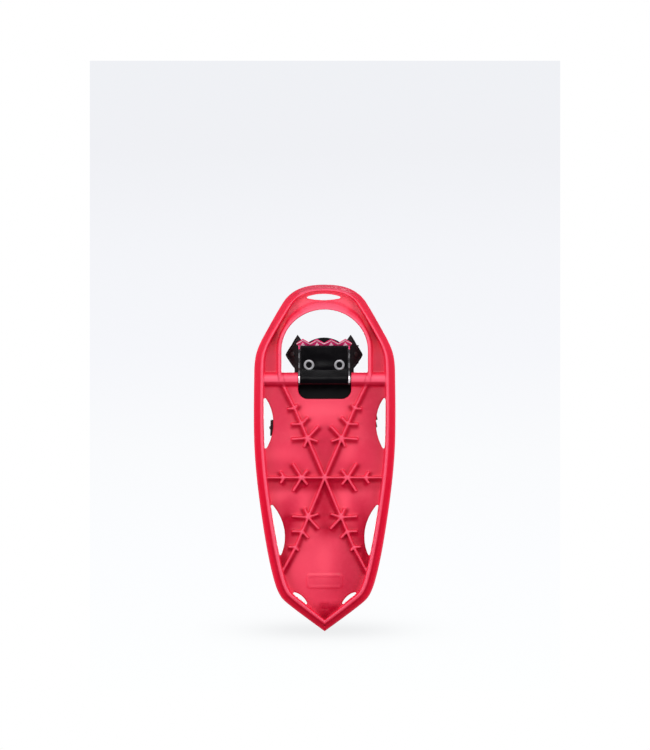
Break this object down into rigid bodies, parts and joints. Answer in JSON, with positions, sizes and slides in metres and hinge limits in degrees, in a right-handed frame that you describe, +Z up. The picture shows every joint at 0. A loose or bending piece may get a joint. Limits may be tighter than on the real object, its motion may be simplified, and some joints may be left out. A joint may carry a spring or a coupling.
{
  "type": "child snowshoe",
  "caption": "One-piece moulded child snowshoe with ribbed deck, steel axle, pivoting toe binding with toothed crampon, cam-buckle straps over the boot and a swinging heel strap.",
  "frame": {"origin": "middle of the footprint, on the ground that the keel ridge rests on", "axes": "+Z up, toe towards -Y, tail towards +Y, X across the shoe; lying flat as worn"},
  "size_m": [0.1764, 0.432, 0.1001],
  "materials": {
    "moulded_red": "semi-gloss moulded polyethylene, fine grain",
    "steel": "satin zinc-plated steel",
    "black_urethane": "smooth semi-gloss urethane strap",
    "black_plastic": "fine moulded texture",
    "wing_black": "matt moulded panel",
    "webbing": "woven nylon webbing",
    "grey_plastic": "satin moulded plastic",
    "pad_rubber": "matt rubber pad"
  },
  "bodies": {
    "deck_body": {"deck": "moulded_red", "axle_rod": "steel", "keeper_left": "black_plastic", "keeper_right": "black_plastic", "keeper_screw_left_1": "steel", "keeper_screw_left_2": "steel", "keeper_screw_right_1": "steel", "keeper_screw_right_2": "steel"},
    "binding": {"pivot_strap": "black_urethane", "crampon": "steel", "foot_plate": "black_plastic", "wing_left": "wing_black", "wing_right": "wing_black", "toe_strap": "webbing", "toe_anchor": "webbing", "toe_buckle": "black_plastic", "toe_buckle_pin": "steel", "toe_buckle_rivet": "steel", "toe_rivet_left": "black_plastic", "toe_rivet_right": "black_plastic", "instep_strap": "webbing", "instep_anchor": "webbing", "instep_buckle": "black_plastic", "instep_buckle_pin": "steel", "instep_buckle_rivet": "steel", "heel_pivot_left": "steel", "heel_pivot_right": "steel", "rivet_left": "steel", "rivet_right": "steel", "wing_screw_left_1": "steel", "wing_screw_left_2": "steel", "wing_screw_right_1": "steel", "wing_screw_right_2": "steel"},
    "toe_lever_body": {"toe_lever": "grey_plastic"},
    "instep_lever_body": {"instep_lever": "grey_plastic"},
    "heel_body": {"heel_strap": "webbing", "heel_pad": "pad_rubber", "heel_buckle_left": "black_plastic", "heel_buckle_right": "black_plastic", "heel_bar_left": "grey_plastic", "heel_bar_right": "grey_plastic", "heel_tail_left": "webbing", "heel_tail_right": "webbing"}
  },
  "joints": [
    {"name": "binding_pivot", "type": "hinge", "parent": "deck_body", "child": "binding", "pos_m": [0, -0.0975, 0.0096], "axis": [1, 0, 0], "range_deg": [0, 45]},
    {"name": "toe_lever_hinge", "type": "hinge", "parent": "binding", "child": "toe_lever_body", "pos_m": [0.03703, -0.129, 0.05497], "axis": [0, 1, 0], "range_deg": [0, 50]},
    {"name": "instep_lever_hinge", "type": "hinge", "parent": "binding", "child": "instep_lever_body", "pos_m": [0.03857, -0.091, 0.07455], "axis": [0, 1, 0], "range_deg": [0, 80]},
    {"name": "heel_strap_swing", "type": "hinge", "parent": "binding", "child": "heel_body", "pos_m": [-0.0006, -0.091, 0.048], "axis": [1, 0, 0], "range_deg": [-8, 75]}
  ]
}
